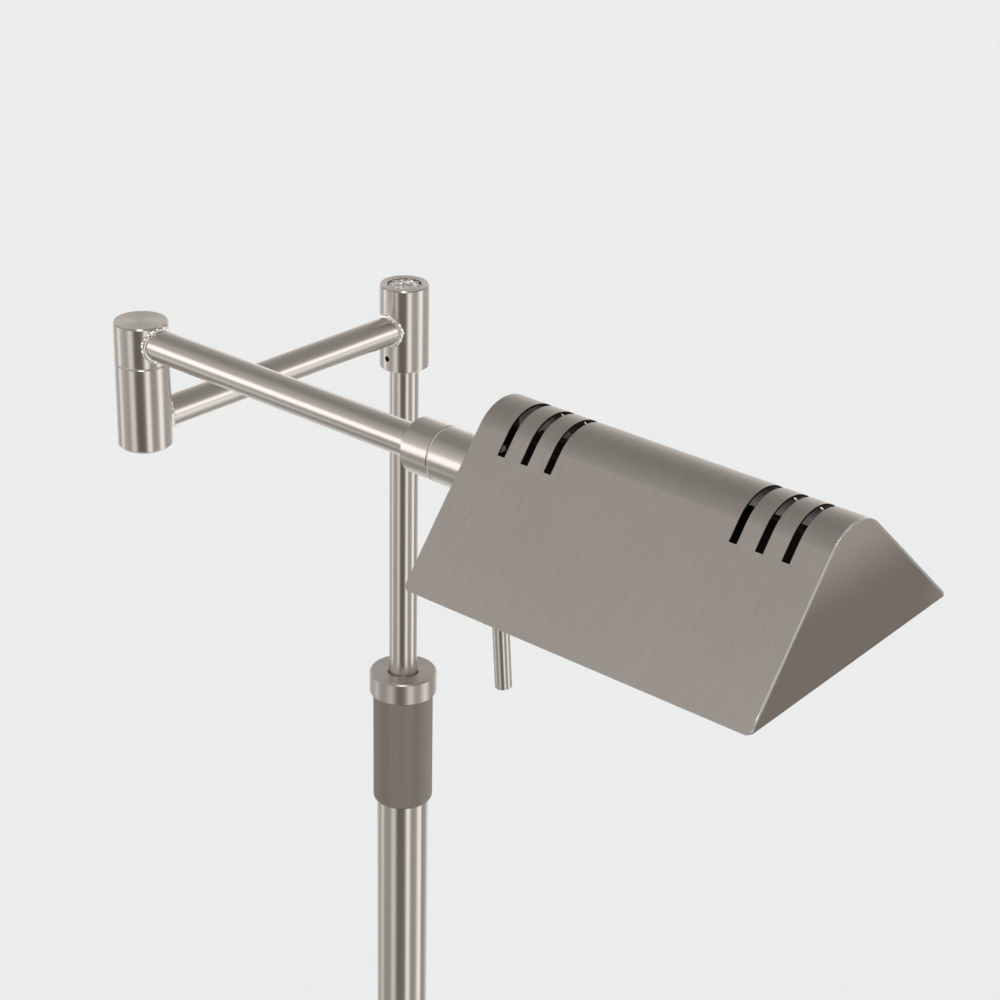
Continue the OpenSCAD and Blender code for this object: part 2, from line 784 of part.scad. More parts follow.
module reflector() {
    x0 = near_x + reflector_end_gap;
    l = shade_l - 2 * reflector_end_gap;
    drop = reflector_t * sqrt(2);
    color([0.88, 0.88, 0.88]) in_shade() difference() {
        section_from(x0, l)
            trough(reflector_top, reflector_low, reflector_half_top, reflector_half_low);
        section_from(x0 - 1, l + 2)
            trough(reflector_top - reflector_t, reflector_low - 1,
                   reflector_half_top - reflector_t * 0.41,
                   reflector_half_low - drop + 1);
        for (x = [mid_x - fix_x, mid_x + fix_x]) translate([x, 0, 0]) cylinder(r = fix_r, h = 40);
        for (x = [mid_x - tail_x, mid_x + tail_x]) translate([x, 0, 0]) cylinder(r = 2, h = 40);
    }
}

// Copies a shape from the shade's near end to its far end
module mirror_ends() {
    translate([mid_x, 0, 0]) mirror([1, 0, 0]) translate([-mid_x, 0, 0]) children();
}

// Angle bracket at the near end: a leg on the cap and a foot on the reflector
module bracket_shape() {
    translate([near_x + cap_t, -bracket_w / 2, reflector_top]) {
        cube([bracket_t, bracket_w, bracket_leg]);
        cube([bracket_foot, bracket_w, bracket_t]);
    }
}

module reflector_brackets() {
    color([0.6, 0.6, 0.6]) in_shade() difference() {
        union() {
            bracket_shape();
            mirror_ends() bracket_shape();
        }
        for (x = [mid_x - fix_x, mid_x + fix_x]) translate([x, 0, 0]) cylinder(r = fix_r, h = 40);
        for (y = [-wire_y, wire_y]) translate([rise_x, y, 0]) cylinder(r = wire_r + 0.5, h = 40);
    }
}

// Each screw holds a bracket, the reflector and a lamp holder together
module bracket_screws() {
    color([0.6, 0.6, 0.6]) in_shade() for (x = [mid_x - fix_x, mid_x + fix_x])
        translate([x, 0, reflector_top + bracket_t]) pan_screw(fix_r, 4, 2.5, 1.6);
}

// Ceramic holder; the socket opens towards the lamp's middle. Built for the near end
module holder_shape() {
    x1 = mid_x - contact_span / 2 + 2;
    difference() {
        translate([x1 - holder_l, -holder_w / 2, holder_low])
            cube([holder_l, holder_w, reflector_top - reflector_t - holder_low]);
        translate([x1 - 9, 0, lamp_u]) along_x() cylinder(r = lamp_end_r + gap, h = 20);
        translate([x1 - 9, -lamp_end_r - gap, holder_low - 1])
            cube([20, 2 * (lamp_end_r + gap), lamp_u - holder_low + 1]);
        translate([x1 - 14, 0, lamp_u]) along_x() cylinder(r = 2, h = 10);
        translate([x1 - 14, -1.5, lamp_u]) cube([3, 3, 40]);
        translate([mid_x - fix_x, 0, reflector_top - reflector_t - 3]) cylinder(r = fix_r, h = 9);
    }
}

module holder_near() {
    color([0.93, 0.92, 0.88]) in_shade() holder_shape();
}

module holder_far() {
    color([0.93, 0.92, 0.88]) in_shade() mirror_ends() holder_shape();
}

// Sprung copper contact with a round nose
module contact() {
    x1 = mid_x - contact_span / 2;
    translate([x1 - 11.9, 0, lamp_u]) along_x() cylinder(r = 2, h = 9.9);
    translate([x1 - 2, 0, lamp_u]) sphere(r = 2);
}

module holder_contacts() {
    color([0.75, 0.45, 0.25]) in_shade() {
        contact();
        mirror_ends() contact();
    }
}

module lamp_glass() {
    color([0.85, 0.9, 0.95, 0.4]) in_shade() translate([mid_x - glass_l / 2, 0, lamp_u])
        along_x() ring(glass_r, glass_r - 1, glass_l);
}

module lamp_end() {
    x0 = mid_x - contact_span / 2;
    end_l = (contact_span - glass_l) / 2;
    translate([x0, 0, lamp_u]) along_x() turned(lamp_end_r, end_l, 0.6, 0);
    translate([x0 + end_l - 0.1, 0, lamp_u]) along_x() cylinder(r = glass_r - 1, h = 3.1);
}

module lamp_ends() {
    color([0.93, 0.92, 0.88]) in_shade() {
        lamp_end();
        mirror_ends() lamp_end();
    }
}

module lamp_filament() {
    color([0.4, 0.4, 0.42]) in_shade() translate([mid_x - glass_l / 2 + 3, 0, lamp_u])
        along_x() cylinder(r = 0.7, h = glass_l - 6);
}

module terminal_block() {
    color([0.9, 0.9, 0.85]) in_shade() difference() {
        translate([mid_x - 12, -8, reflector_top]) cube([24, 16, 10]);
        for (y = [-wire_y, wire_y]) {
            translate([mid_x - 13, y, reflector_top + 4]) along_x() cylinder(r = 1.5, h = 26);
            for (x = [-6, 6]) translate([mid_x + x, y, reflector_top + 4]) cylinder(r = 1.6, h = 20);
        }
    }
}

// Points that take a corner at p on a short curve, coming from a and going to b
function bend(a, p, b) =
    let (u = wire_bend * (a - p) / norm(a - p), v = wire_bend * (b - p) / norm(b - p))
    [p + u, p + (u + v) / 4, p + v];

// A route with its corners softened
function softened(route) = let (last = len(route) - 1) concat(
    [route[0]],
    [for (i = [1:last - 1]) each bend(route[i - 1], route[i], route[i + 1])],
    [route[last]]
);

// Ring of wire_sides points round p, square to direction d
function wire_ring(p, d) =
    let (z = d / norm(d), across = cross([1, 2, 3], z), x = across / norm(across), y = cross(z, x))
    [for (k = [0:wire_sides - 1])
        p + wire_r * (cos(k * 360 / wire_sides) * x + sin(k * 360 / wire_sides) * y)];

// Single wire along a route
module wire_run(route) {
    p = softened(route);
    last = len(p) - 1;
    n = wire_sides;
    rings = [for (i = [0:last]) wire_ring(p[i], p[min(i + 1, last)] - p[max(i - 1, 0)])];
    sides = [for (i = [0:last - 1]) for (k = [0:n - 1])
        [i * n + k, i * n + (k + 1) % n, (i + 1) * n + (k + 1) % n, (i + 1) * n + k]];
    ends = [[for (k = [n - 1:-1:0]) k], [for (k = [0:n - 1]) last * n + k]];
    polyhedron(points = [for (ring_points = rings) each ring_points], faces = concat(sides, ends));
}

// The pair from the collar to the terminal block, and one wire on to each holder
module lamp_leads() {
    u = reflector_top + 4;
    over = u + 4;
    tail_u = lamp_u + 3.2;
    color([0.85, 0.85, 0.8]) in_shade() {
        for (y = [-wire_y, wire_y])
            wire_run([[near_x - 14, y, 0], [rise_x, y, 0], [rise_x, y, u], [mid_x - 8, y, u]]);
        wire_run([[mid_x + 8, wire_y, u], [mid_x + 58, wire_y, u], [mid_x + tail_x, 0, u],
                  [mid_x + tail_x, 0, tail_u]]);
        wire_run([[mid_x + 8, -wire_y, u], [mid_x + 17, -wire_y, u], [mid_x + 17, -11, u],
                  [mid_x - 50, -11, u], [mid_x - 58, -11, over], [mid_x - tail_x, 0, over],
                  [mid_x - tail_x, 0, tail_u]]);
    }
}

base_cover();
base_weight();
base_pad();
base_washer();
base_nut();
mast_nipple();
cable_grommet();
outer_tube();
foot_plug();
mast_ferrule();
clamp_collet();
clamp_sleeve();
clamp_ring();
inner_tube();
slide_bush();
mast_spigot();
pivot_washer();
mast_lead();
mast_knuckle();
knuckle_grub_screw();
dimmer_unit();
inner_arm_tube();
elbow_lower();
elbow_grub_screw();
elbow_plug();
inner_arm_lead();
dimmer_knob();
elbow_upper();
elbow_spigot();
elbow_washer();
elbow_spring_washer();
elbow_nut();
outer_arm_tube();
collar_fixed();
collar_washer();
swivel_nipple();
swivel_spring_washer();
swivel_nut();
stop_pin();
outer_arm_lead();
collar_turning();
tilt_handle();
collar_screws();
shade_shell();
shade_cap_near();
shade_cap_far();
reflector();
reflector_brackets();
bracket_screws();
holder_near();
holder_far();
holder_contacts();
lamp_glass();
lamp_ends();
lamp_filament();
terminal_block();
lamp_leads();
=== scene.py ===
"""Looks of the pharmacy floor lamp: finishes, fine pieces, studio and camera, in metres."""

import math

import bmesh
import bpy
from mathutils import Matrix, Vector


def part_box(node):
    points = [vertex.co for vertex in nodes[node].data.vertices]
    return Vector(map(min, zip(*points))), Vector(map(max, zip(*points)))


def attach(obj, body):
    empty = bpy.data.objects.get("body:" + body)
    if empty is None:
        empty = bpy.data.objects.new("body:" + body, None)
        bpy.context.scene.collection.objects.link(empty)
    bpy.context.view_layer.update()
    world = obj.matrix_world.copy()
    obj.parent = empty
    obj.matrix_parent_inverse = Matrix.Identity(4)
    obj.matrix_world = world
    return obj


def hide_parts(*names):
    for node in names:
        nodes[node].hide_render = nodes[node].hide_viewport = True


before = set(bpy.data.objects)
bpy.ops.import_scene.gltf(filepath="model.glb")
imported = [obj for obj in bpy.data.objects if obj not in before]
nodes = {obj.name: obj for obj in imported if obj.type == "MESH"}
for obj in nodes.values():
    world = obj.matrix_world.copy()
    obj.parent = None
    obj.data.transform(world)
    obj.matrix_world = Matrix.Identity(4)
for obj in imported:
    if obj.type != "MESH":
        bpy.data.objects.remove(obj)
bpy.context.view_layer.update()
scene = bpy.context.scene


def low(node):
    """Lowest corner of a CAD node."""
    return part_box(node)[0]


def high(node):
    """Highest corner of a CAD node."""
    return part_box(node)[1]


# ---- Places that the CAD model gives ----

KNUCKLE_TOP = high("mast_knuckle").z
ELBOW = Vector(((low("elbow_upper").x + high("elbow_upper").x) / 2,
                (low("elbow_upper").y + high("elbow_upper").y) / 2, 0))
OUTER_Z = (low("collar_fixed").z + high("collar_fixed").z) / 2
INNER_Z = (low("inner_arm_tube").z + high("inner_arm_tube").z) / 2
ARM_R = (high("inner_tube").x - low("inner_tube").x) / 2
KNUCKLE_R = (high("mast_knuckle").x - low("mast_knuckle").x) / 2
MAST_R = (high("outer_tube").x - low("outer_tube").x) / 2
X_AXIS = Vector((1, 0, 0))
Y_AXIS = Vector((0, 1, 0))
Z_AXIS = Vector((0, 0, 1))


# ---- Camera ----

CAMERA_PLACE = Vector((0.9108, -0.9596, KNUCKLE_TOP + 0.4780))
CAMERA_HEADING = math.radians(41.17)
CAMERA_PITCH = math.radians(24.605)
CAMERA_ROLL = math.radians(-1.162)
CAMERA_LENS = 93.49
CAMERA_SENSOR = 36


def make_camera():
    """The photograph's viewing angle: from beyond the shade's far end, looking down to the arms."""
    forward = Vector((0, math.cos(CAMERA_PITCH), -math.sin(CAMERA_PITCH)))
    down = Vector((0, -math.sin(CAMERA_PITCH), -math.cos(CAMERA_PITCH)))
    rolled_right = math.cos(CAMERA_ROLL) * X_AXIS + math.sin(CAMERA_ROLL) * down
    rolled_down = math.cos(CAMERA_ROLL) * down - math.sin(CAMERA_ROLL) * X_AXIS
    turn = Matrix.Rotation(CAMERA_HEADING, 3, "Z")
    axes = Matrix([turn @ rolled_right, turn @ -rolled_down, turn @ -forward]).transposed()
    data = bpy.data.cameras.new("camera")
    data.sensor_width = CAMERA_SENSOR
    data.lens = CAMERA_LENS
    camera = bpy.data.objects.new("camera", data)
    camera.matrix_world = Matrix.Translation(CAMERA_PLACE) @ axes.to_4x4()
    scene.collection.objects.link(camera)
    scene.camera = camera


make_camera()


# ---- Node helpers ----

class Tree:
    """Short calls for building a node tree."""

    def __init__(self, tree):
        self.tree = tree

    def node(self, kind, **settings):
        made = self.tree.nodes.new(kind)
        for name, value in settings.items():
            setattr(made, name, value)
        return made

    def set(self, socket, value):
        """Gives a socket a number, a vector, or another node's output."""
        if isinstance(value, bpy.types.NodeSocket):
            self.tree.links.new(value, socket)
        else:
            socket.default_value = value

    def math(self, operation, a, b=0.0):
        made = self.node("ShaderNodeMath", operation=operation)
        self.set(made.inputs[0], a)
        self.set(made.inputs[1], b)
        return made.outputs[0]

    def ramp(self, value, start, end, to_start=0.0, to_end=1.0, kind="SMOOTHSTEP"):
        """Maps start to end onto to_start to to_end, and holds the value outside."""
        made = self.node("ShaderNodeMapRange", interpolation_type=kind)
        for socket, given in zip(made.inputs, (value, start, end, to_start, to_end)):
            self.set(socket, given)
        return made.outputs[0]

    def vector(self, operation, a, b=None, scale=None):
        made = self.node("ShaderNodeVectorMath", operation=operation)
        self.set(made.inputs[0], a)
        if b is not None:
            self.set(made.inputs[1], b)
        if scale is not None:
            self.set(made.inputs["Scale"], scale)
        return made.outputs["Value" if operation == "DOT_PRODUCT" else "Vector"]

    def coords(self, kind):
        """Generated, Normal or Object coordinates."""
        return self.node("ShaderNodeTexCoord").outputs[kind]

    def split(self, vector):
        """The x, y and z of a vector."""
        made = self.node("ShaderNodeSeparateXYZ")
        self.set(made.inputs[0], vector)
        return made.outputs

    def noise(self, scale, detail=3.0, rough=0.5):
        """Noise in the object's own coordinates; scale is per metre along x, y and z."""
        made = self.node("ShaderNodeTexNoise")
        self.set(made.inputs["Vector"], self.vector("MULTIPLY", self.coords("Object"), scale))
        self.set(made.inputs["Scale"], 1.0)
        self.set(made.inputs["Detail"], detail)
        self.set(made.inputs["Roughness"], rough)
        return made.outputs["Fac"]

    def mix(self, factor, a, b):
        """Colour a where factor is 0, colour b where it is 1."""
        made = self.node("ShaderNodeMix", data_type="RGBA")
        self.set(made.inputs["Factor"], factor)
        self.set(made.inputs[6], a)
        self.set(made.inputs[7], b)
        return made.outputs[2]

    def bump(self, height, strength, distance):
        made = self.node("ShaderNodeBump")
        self.set(made.inputs["Strength"], strength)
        self.set(made.inputs["Distance"], distance)
        self.set(made.inputs["Height"], height)
        return made.outputs["Normal"]

    def radial(self, axis):
        """Tangent that runs round an axis of the object."""
        return self.node("ShaderNodeTangent", direction_type="RADIAL", axis=axis).outputs[0]


# ---- Studio ----

scene.view_settings.view_transform = "Standard"

# The light tent round the lamp: height of view in degrees, and brightness
TENT = [(-90, 0.42), (-50, 0.40), (-30, 0.31), (-18, 0.37), (-8, 0.76), (3, 1.08), (13, 0.72),
        (25, 0.37), (36, 0.36), (48, 0.31), (90, 0.30)]
TENT_TINT = (1.0, 0.965, 0.93)
TENT_DARKEST = 0.02
LAMP_TINT = (0.98, 1.0, 1.03)
# Soft lamps and dark patches: azimuth, half width, edge, lowest, highest, edge, brightness
LOBES = [
    (-138, 12, 14, -8, 6, 8, 0.80),
    (-149, 5, 8, -34, -10, 8, 0.66),
    (-136, 12, 18, 26, 46, 8, 0.14),
    (-112, 10, 12, 14, 38, 8, 0.50),
    (46, 10, 16, -4, 8, 8, 0.75),
    (36, 6, 12, -60, -18, 10, 1.10),
    (-89, 4, 12, -60, 5, 14, 0.52),
    (-21, 3, 12, -60, -10, 8, 0.98),
    (140, 20, 40, -70, -8, 14, 0.42),
    (108, 16, 20, -60, -30, 10, 0.45),
    (131, 25, 30, 14, 36, 10, 0.12),
    (-56, 9, 18, -24, 12, 22, -0.42),
    (-50, 14, 6, 60, 72, 4, 6.00),
]
BACKDROP = (0.84, 0.84, 0.84, 1)
FLOOR_REACH = 40
FLOOR_COLOR = (0.8, 0.8, 0.8, 1)
SUN_POWER = 1.72
SUN_COLOR = (0.97, 1.0, 1.02)
SUN_WIDTH = math.radians(120)
SUN_TILT = (math.radians(12), math.radians(8), 0)


def tent_by_height(t, height):
    """The tent's colour and brightness by height of view."""
    ramp = t.node("ShaderNodeValToRGB")
    t.set(ramp.inputs[0], t.ramp(height, -math.pi / 2, math.pi / 2, kind="LINEAR"))
    ramp.color_ramp.interpolation = "B_SPLINE"
    while len(ramp.color_ramp.elements) < len(TENT):
        ramp.color_ramp.elements.new(0.5)
    for stop, (degrees, bright) in zip(ramp.color_ramp.elements, TENT):
        stop.position = (degrees + 90) / 180
        stop.color = (bright, bright, bright, 1)
    return t.vector("MULTIPLY", ramp.outputs["Color"], TENT_TINT)


def tent_color(t):
    """The colour and brightness of the tent and its soft lamps by direction."""
    x, y, z = t.split(t.coords("Generated"))
    height = t.math("ARCSINE", z)
    level = t.math("SQRT", t.math("ADD", t.math("MULTIPLY", x, x), t.math("MULTIPLY", y, y)))
    total = tent_by_height(t, height)
    for azimuth, half, soft, bottom, top, fade, bright in LOBES:
        a = math.radians(azimuth)
        along = t.math("ADD", t.math("MULTIPLY", x, math.cos(a)), t.math("MULTIPLY", y, math.sin(a)))
        off = t.math("ARCCOSINE", t.math("DIVIDE", along, t.math("MAXIMUM", level, 0.0001)))
        wide = t.ramp(off, math.radians(half + soft), math.radians(half))
        above = t.ramp(height, math.radians(bottom - fade), math.radians(bottom))
        below = t.ramp(height, math.radians(top + fade), math.radians(top))
        share = t.math("MULTIPLY", wide, t.math("MULTIPLY", above, below))
        tint = [bright * c for c in LAMP_TINT]
        total = t.vector("ADD", total, t.vector("SCALE", tint, scale=share))
    return t.vector("MAXIMUM", total, (TENT_DARKEST, TENT_DARKEST, TENT_DARKEST))


def make_world():
    """The tent lights and reflects; the camera sees a plain pale backdrop."""
    world = bpy.data.worlds.new("studio")
    scene.world = world
    world.use_nodes = True
    t = Tree(world.node_tree)
    background = world.node_tree.nodes["Background"]
    seen = t.node("ShaderNodeLightPath").outputs["Is Camera Ray"]
    t.set(background.inputs["Color"], t.mix(seen, tent_color(t), BACKDROP))


def make_floor():
    """A plain matt floor that the metal doesn't mirror."""
    r = FLOOR_REACH
    mesh = bpy.data.meshes.new("floor")
    mesh.from_pydata([(-r, -r, 0), (r, -r, 0), (r, r, 0), (-r, r, 0)], [], [(0, 1, 2, 3)])
    floor = bpy.data.objects.new("floor", mesh)
    scene.collection.objects.link(floor)
    floor.visible_glossy = False
    mat = bpy.data.materials.new("floor")
    mat.use_nodes = True
    shader = mat.node_tree.nodes["Principled BSDF"]
    shader.inputs["Base Color"].default_value = FLOOR_COLOR
    shader.inputs["Roughness"].default_value = 1.0
    shader.inputs["Specular IOR Level"].default_value = 0.0
    mesh.materials.append(mat)


def make_sun():
    """A very wide overhead light, for the floor and the parts that aren't metal."""
    data = bpy.data.lights.new("overhead", "SUN")
    data.energy = SUN_POWER
    data.color = SUN_COLOR
    data.angle = SUN_WIDTH
    sun = bpy.data.objects.new("overhead", data)
    sun.rotation_euler = SUN_TILT
    sun.visible_glossy = False
    scene.collection.objects.link(sun)


make_world()
make_floor()
make_sun()


# ---- Finishes ----

NICKEL = (0.65, 0.605, 0.56)
SLEEVE_NICKEL = (0.385, 0.345, 0.315)
RING_NICKEL = (0.58, 0.53, 0.49)
SHADE_NICKEL = (0.51, 0.467, 0.43)
SHADE_RIM = (0.88, 0.86, 0.83, 1)
# Near-black painted shade for the inside of the shade and the walls of its slots
PAINTED_SHADE_INSIDE = (0.014, 0.012, 0.009, 1)
# The end caps' colour, and a lighter copy of it laid on as painted light
CAP_DARK = (0.235, 0.203, 0.172, 1)
CAP_PAINTED_LIGHT = (0.44, 0.39, 0.35, 1)
# Noise scales per metre, across the hairlines and along them
HAIR = 2600.0
LONG = 14.0
# Depth of the fine bumps
FINE = 0.0002
# Anisotropic rotation where the hairlines run round the axis, and where they follow it
ROUND = 0.25
LENGTHWISE = 0.0


def finish(name):
    """A new material; gives it, its tree and its Principled shader."""
    mat = bpy.data.materials.new(name)
    mat.use_nodes = True
    return mat, Tree(mat.node_tree), mat.node_tree.nodes["Principled BSDF"]


def shade_of(color, factor):
    return tuple(min(1.0, c * factor) for c in color) + (1,)


def brushed(name, color, rough, fine, axis="Z", spread=0.5, turned=ROUND, bump=0.01, blotch=0.004,
            vary=0.008):
    """Satin metal with hairlines about an axis. fine is the hairlines' scale along x, y and z, and
    spread is the anisotropy. blotch and vary are the shares by which the hairlines change the
    colour and the roughness."""
    mat, t, s = finish(name)
    s.inputs["Metallic"].default_value = 1.0
    s.inputs["Anisotropic"].default_value = spread
    s.inputs["Anisotropic Rotation"].default_value = turned
    hair = t.noise(fine, 4.0, 0.6)
    broad = t.noise([v * 0.22 for v in fine], 2.0)
    cloud = t.noise((14, 14, 14), 2.0)
    lines = t.math("ADD", t.math("MULTIPLY", hair, 0.65), t.math("MULTIPLY", broad, 0.35))
    tone = t.math("ADD", t.ramp(lines, 0.3, 0.7, 0.0, 0.8, "LINEAR"),
                  t.math("MULTIPLY", cloud, 0.4))
    t.set(s.inputs["Base Color"], t.mix(tone, shade_of(color, 1 - blotch), shade_of(color, 1 + blotch)))
    t.set(s.inputs["Roughness"],
          t.ramp(lines, 0.3, 0.7, rough * (1 - vary), rough * (1 + vary), "LINEAR"))
    t.set(s.inputs["Tangent"], t.radial(axis))
    if bump:
        t.set(s.inputs["Normal"], t.bump(hair, bump, FINE))
    return mat


def plain(name, color, rough, metal=0.0, grain=1500.0, bump=0.1, depth=FINE, vary=0.06,
          specular=0.5):
    """Cast, moulded or plated surface with a fine even grain."""
    mat, t, s = finish(name)
    s.inputs["Metallic"].default_value = metal
    s.inputs["Specular IOR Level"].default_value = specular
    fine = t.noise((grain, grain, grain), 3.0)
    cloud = t.noise((30, 30, 30), 3.0)
    t.set(s.inputs["Base Color"], t.mix(cloud, shade_of(color, 1 - vary), shade_of(color, 1 + vary)))
    t.set(s.inputs["Roughness"], t.ramp(fine, 0.3, 0.7, rough * 0.85, min(1.0, rough * 1.15), "LINEAR"))
    t.set(s.inputs["Normal"], t.bump(fine, bump, depth))
    return mat


def cap_metal():
    """Smooth satin sheet of the end caps, with painted light that makes it a little lighter towards the
    ridge and the back.
    """
    top = high("shade_cap_far")
    rise_from = low("shade_cap_far").z + 0.03
    back_from = top.y - 0.02
    mat, t, s = finish("nickel_cap")
    s.inputs["Metallic"].default_value = 1.0
    s.inputs["Anisotropic"].default_value = 0.3
    s.inputs["Anisotropic Rotation"].default_value = ROUND
    place = t.split(t.coords("Object"))
    rise = t.ramp(place[2], rise_from, top.z)
    back = t.ramp(place[1], back_from, top.y)
    grain = t.noise((900, 900, 900), 3.0)
    cloud = t.noise((26, 26, 26), 2.0)
    # Painted light: the colour lightens towards the ridge and towards the back edge
    light = t.math("ADD", t.math("MULTIPLY", rise, 0.9), t.math("MULTIPLY", back, 0.35))
    mottle = t.math("ADD", t.math("MULTIPLY", grain, 0.04), t.math("MULTIPLY", cloud, 0.08))
    t.set(s.inputs["Base Color"], t.mix(t.math("ADD", light, mottle), CAP_DARK, CAP_PAINTED_LIGHT))
    t.set(s.inputs["Roughness"], t.ramp(grain, 0.3, 0.7, 0.42, 0.52, "LINEAR"))
    t.set(s.inputs["Tangent"], t.radial("X"))
    t.set(s.inputs["Normal"], t.bump(grain, 0.04, FINE))
    return mat


def shade_regions(t):
    """Masks of the shell's outer side, of its bright rims at the two ends, and of the slots' walls,
    which get painted shade.
    """
    bottom, top = low("shade_shell"), high("shade_shell")
    middle = Vector(((bottom.x + top.x) / 2, ELBOW.y, bottom.z))
    end = (top.x - bottom.x) / 2 - 0.0005
    normal = t.coords("Normal")
    away = t.vector("SUBTRACT", t.coords("Object"), middle)
    facing = t.vector("DOT_PRODUCT", t.vector("MULTIPLY", away, (0, 1, 1)), normal)
    outside = t.ramp(facing, -0.002, 0.002)
    side = t.math("GREATER_THAN", t.math("ABSOLUTE", t.split(normal)[0]), 0.8)
    at_end = t.math("GREATER_THAN", t.math("ABSOLUTE", t.split(away)[0]), end)
    rim = t.math("MULTIPLY", side, at_end)
    return outside, rim, t.math("SUBTRACT", side, rim)


def shade_metal():
    """Satin sheet with hairlines down the slope outside; dull inside, with the inside and the slots'
    walls painted near-black as painted shade.
    """
    mat, t, s = finish("nickel_shade")
    s.inputs["Specular IOR Level"].default_value = 0.08
    s.inputs["Anisotropic"].default_value = 0.5
    s.inputs["Anisotropic Rotation"].default_value = ROUND
    fine = t.noise((2800, 60, 60), 3.0, 0.6)
    streak = t.noise((900, 80, 80), 3.0, 0.55)
    cloud = t.noise((22, 14, 14), 3.0)
    lines = t.math("ADD", t.math("MULTIPLY", fine, 0.45), t.math("MULTIPLY", streak, 0.55))
    tone = t.math("ADD", t.ramp(lines, 0.32, 0.68, 0.0, 0.72, "LINEAR"),
                  t.math("MULTIPLY", cloud, 0.5))
    sheet = t.mix(tone, shade_of(SHADE_NICKEL, 0.90), shade_of(SHADE_NICKEL, 1.10))
    outside, rim, slot_wall = shade_regions(t)
    # Painted shade: the inside and the slots' walls are coloured near-black instead of metal
    sheet_out = t.math("MULTIPLY", outside, t.math("SUBTRACT", 1.0, slot_wall))
    t.set(s.inputs["Metallic"], sheet_out)
    t.set(s.inputs["Base Color"], t.mix(sheet_out, PAINTED_SHADE_INSIDE, t.mix(rim, sheet, SHADE_RIM)))
    satin = t.ramp(lines, 0.32, 0.68, 0.34, 0.46, "LINEAR")
    t.set(s.inputs["Roughness"], t.math("SUBTRACT", satin, t.math("MULTIPLY", rim, 0.12)))
    t.set(s.inputs["Tangent"], t.radial("X"))
    t.set(s.inputs["Normal"], t.bump(fine, 0.08, FINE))
    return mat


def reflector_metal():
    """Bright rolled aluminium towards the lamp; its upper side is dull and near-black, painted shade for
    the dark inside of the shade.
    """
    mat, t, s = finish("aluminium")
    s.inputs["Specular IOR Level"].default_value = 0.08
    lines = t.noise((12, HAIR, HAIR), 4.0, 0.6)
    upper = t.math("GREATER_THAN", t.split(t.coords("Normal"))[2], 0.0)
    bright = t.mix(lines, (0.82, 0.82, 0.83, 1), (0.92, 0.92, 0.93, 1))
    # Painted shade: the upper side is coloured near-black
    dull = t.mix(lines, (0.012, 0.010, 0.008, 1), (0.018, 0.016, 0.012, 1))
    t.set(s.inputs["Metallic"], t.math("SUBTRACT", 1.0, upper))
    t.set(s.inputs["Base Color"], t.mix(upper, bright, dull))
    satin = t.ramp(lines, 0.3, 0.7, 0.22, 0.30, "LINEAR")
    t.set(s.inputs["Roughness"], t.math("ADD", satin, t.math("MULTIPLY", upper, 0.35)))
    t.set(s.inputs["Normal"], t.bump(lines, 0.06, FINE))
    return mat


def quartz():
    """Clear quartz of the lamp's tube, a thin wall that hardly bends the light."""
    mat, t, s = finish("lamp_quartz")
    s.inputs["Base Color"].default_value = (0.98, 0.98, 1.0, 1)
    s.inputs["Transmission Weight"].default_value = 1.0
    s.inputs["IOR"].default_value = 1.46
    s.inputs["Alpha"].default_value = 0.55
    t.set(s.inputs["Roughness"], t.ramp(t.noise((200, 200, 200)), 0.3, 0.7, 0.01, 0.05))
    return mat


arm_x_finish = brushed("nickel_arm_x", NICKEL, 0.22, (HAIR, LONG, LONG), "X", 0.6, bump=0)
arm_y_finish = brushed("nickel_arm_y", NICKEL, 0.22, (LONG, HAIR, LONG), "Y", 0.6, bump=0)
ring_finish = brushed("nickel_ring", RING_NICKEL, 0.36, (LONG, LONG, HAIR), "Z", 0.5)
weld_finish = plain("weld_bead", (0.93, 0.91, 0.88), 0.14, 1.0, 500.0, 0.03)

